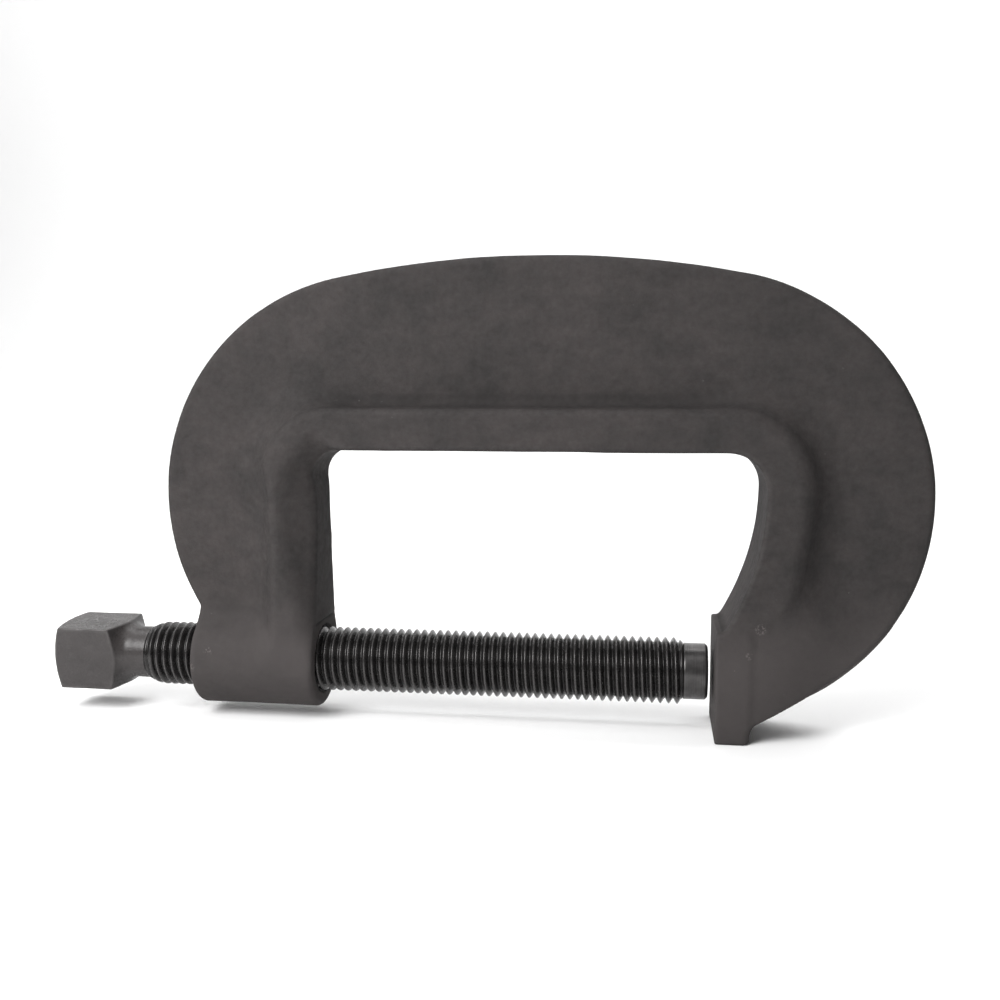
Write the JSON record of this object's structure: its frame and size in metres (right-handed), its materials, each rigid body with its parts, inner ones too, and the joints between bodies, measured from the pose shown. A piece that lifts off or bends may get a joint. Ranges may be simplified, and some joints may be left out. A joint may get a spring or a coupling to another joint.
{
  "type": "c-clamp",
  "caption": "Heavy forged C-clamp: T-section frame, tapped boss, and a square-headed screw that closes its plain nose fully on the flat anvil.",
  "frame": {"origin": "middle of the anvil's clamping face, on the screw axis", "axes": "+X along the screw axis from the square head towards the anvil, +Z from the screw up to the frame's beam, +Y across the frame, away from the side the picture shows"},
  "size_m": [0.344, 0.038, 0.1811],
  "materials": {
    "forging": "matte",
    "screw": "satin"
  },
  "bodies": {
    "frame": {"frame": "forging"},
    "spindle_nose": {"spindle_nose": "screw"},
    "spindle": {"spindle": "screw"}
  },
  "joints": [
    {"name": "spindle_travel", "type": "slide", "parent": "frame", "child": "spindle_nose", "axis": [-1, 0, 0], "range_m": [-0.0018, 0.1503]},
    {"name": "spindle_turn", "type": "hinge", "parent": "spindle_nose", "child": "spindle", "pos_m": [-0.1, 0, 0], "axis": [-1, 0, 0], "range_deg": [-204, 17040]}
  ],
  "couplings": [
    {"joint": "spindle_travel", "follows": "spindle_turn", "m_per_rad": 0.00050532}
  ]
}
